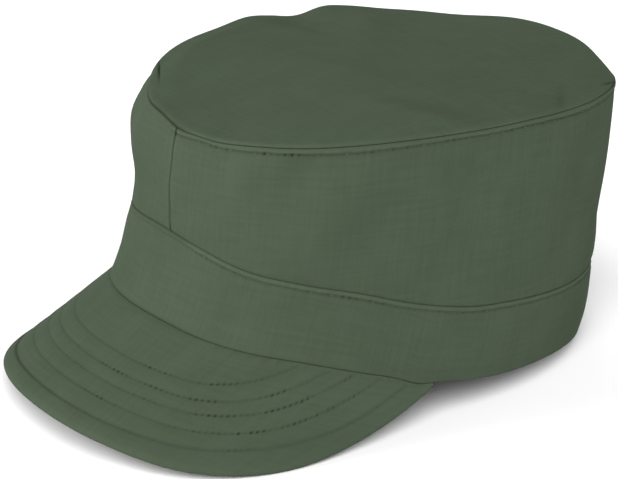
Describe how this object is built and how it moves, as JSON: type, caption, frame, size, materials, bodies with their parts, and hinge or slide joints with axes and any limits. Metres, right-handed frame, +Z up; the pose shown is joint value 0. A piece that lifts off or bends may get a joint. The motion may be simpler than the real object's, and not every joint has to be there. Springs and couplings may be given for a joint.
{
  "type": "patrol cap",
  "caption": "Soft twill patrol cap: flat oval crown top, seamed side wall, fitted band round its foot, and a rounded, drooping stitched peak. Hollow for the head.",
  "frame": {"origin": "centre of the cap's box, on the surface that it stands on", "axes": "+Z up through the crown, the peak points to -Y, the wearer's left is +X"},
  "size_m": [0.1772, 0.2734, 0.1257],
  "materials": {
    "twill": "olive drab cotton and polyester twill, matt, with thread of the same colour"
  },
  "bodies": {
    "root": {"crown_top": "twill", "side_left": "twill", "side_right": "twill", "band": "twill", "peak": "twill"}
  },
  "joints": []
}
